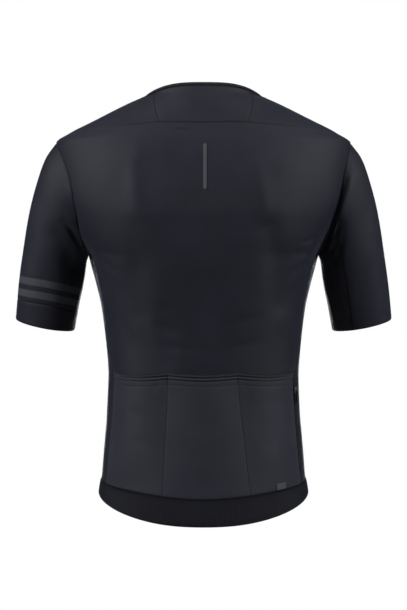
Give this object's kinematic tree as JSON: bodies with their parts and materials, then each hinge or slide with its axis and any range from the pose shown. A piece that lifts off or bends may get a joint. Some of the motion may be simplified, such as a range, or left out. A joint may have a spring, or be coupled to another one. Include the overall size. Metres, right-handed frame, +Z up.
{
  "type": "cycling jersey",
  "caption": "Close-fitting short-sleeved cycling jersey in its hollow worn form, with a full front zip, back pockets, a zipped side pocket and an elastic hem.",
  "frame": {"origin": "middle of the neck opening, level with the top of the shoulders where they meet the neck", "axes": "+Z up, +Y the way the wearer faces, so the back looks towards -Y and the wearer's left is at -X"},
  "size_m": [0.584, 0.2376, 0.6661],
  "materials": {
    "body_cloth": "smooth knit with a soft sheen",
    "pocket_cloth": "closer knit with more sheen",
    "gripper_elastic": "ribbed matt elastic",
    "binding": "folded knit binding",
    "zip_tape": "woven tape with moulded teeth",
    "zip_metal": "black lacquer",
    "reflective_film": "dull silver-grey bonded film"
  },
  "bodies": {
    "jersey": {"back_panel": "body_cloth", "neck_panel": "body_cloth", "front_left": "body_cloth", "front_right": "body_cloth", "side_left": "body_cloth", "side_right": "body_cloth", "sleeve_left": "body_cloth", "sleeve_right": "body_cloth", "underarm_left": "body_cloth", "underarm_right": "body_cloth", "cuff_left": "body_cloth", "pocket_left": "pocket_cloth", "pocket_centre": "pocket_cloth", "pocket_right": "pocket_cloth", "hem_band": "gripper_elastic", "neck_binding": "binding", "front_zip_tape": "zip_tape", "side_zip_tape": "zip_tape", "front_zip_slider": "zip_metal", "side_zip_slider": "zip_metal", "reflective_strip": "reflective_film", "hem_tab": "reflective_film"},
    "front_pull": {"front_zip_pull": "zip_metal"},
    "side_pull": {"side_zip_pull": "zip_metal"}
  },
  "joints": [
    {"name": "front_pull_swing", "type": "hinge", "parent": "jersey", "child": "front_pull", "pos_m": [0, 0.10291, -0.09786], "axis": [1, 0, 0], "range_deg": [0, 150]},
    {"name": "side_pull_swing", "type": "hinge", "parent": "jersey", "child": "side_pull", "pos_m": [0.14156, -0.04344, -0.44879], "axis": [-0.4714, -0.8819, 0], "range_deg": [0, 150]}
  ]
}
